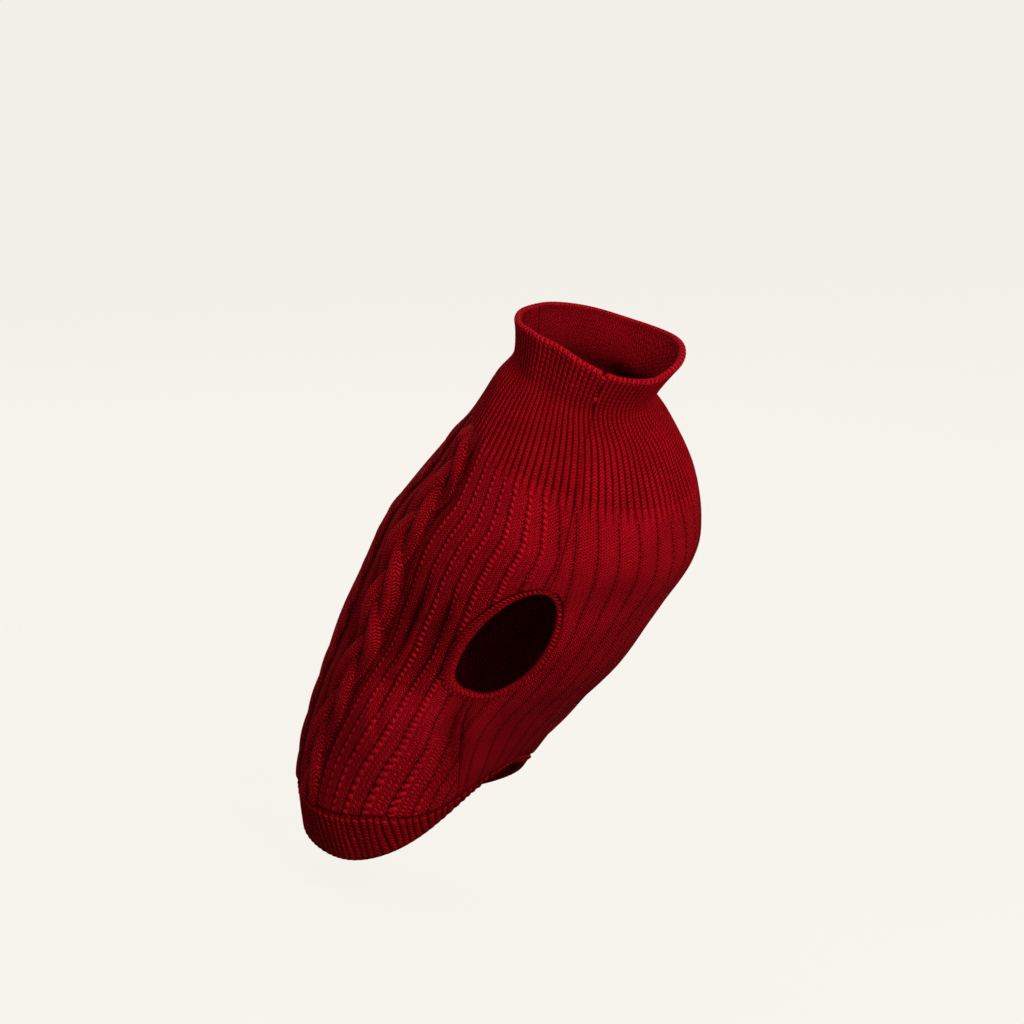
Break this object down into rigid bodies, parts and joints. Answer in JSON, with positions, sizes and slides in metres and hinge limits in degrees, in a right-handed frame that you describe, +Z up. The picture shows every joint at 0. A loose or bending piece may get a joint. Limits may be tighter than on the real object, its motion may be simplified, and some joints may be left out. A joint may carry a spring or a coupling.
{
  "type": "dog sweater",
  "caption": "Sleeveless funnel-neck cable-knit sweater for a large sitting dog: a slanted hollow wool tube with a ribbed collar, leg holes and a ribbed hem.",
  "frame": {"origin": "centre of the collar's narrowest ring, where the wearer's neck holds the sweater up", "axes": "+Z up, the wearer faces -Y, the wearer's left is +X; the symmetry plane of the cut is X = 0"},
  "size_m": [0.2626, 0.4907, 0.6132],
  "materials": {
    "collar_rib": "1x1 rib, thick red wool, matt with a soft nap",
    "back_cable": "cable and wide rib knit, thick red wool, matt with a soft nap",
    "chest_rib": "wide rib knit, thick red wool, matt with a soft nap",
    "hem_rib": "1x1 rib, thick red wool, matt with a soft nap",
    "band_rib": "picked-up knit edge, thick red wool, matt with a soft nap"
  },
  "bodies": {
    "root": {"collar": "collar_rib", "back_panel": "back_cable", "chest_panel": "chest_rib", "hem_band": "hem_rib", "armhole_band_right": "band_rib", "armhole_band_left": "band_rib"}
  },
  "joints": []
}
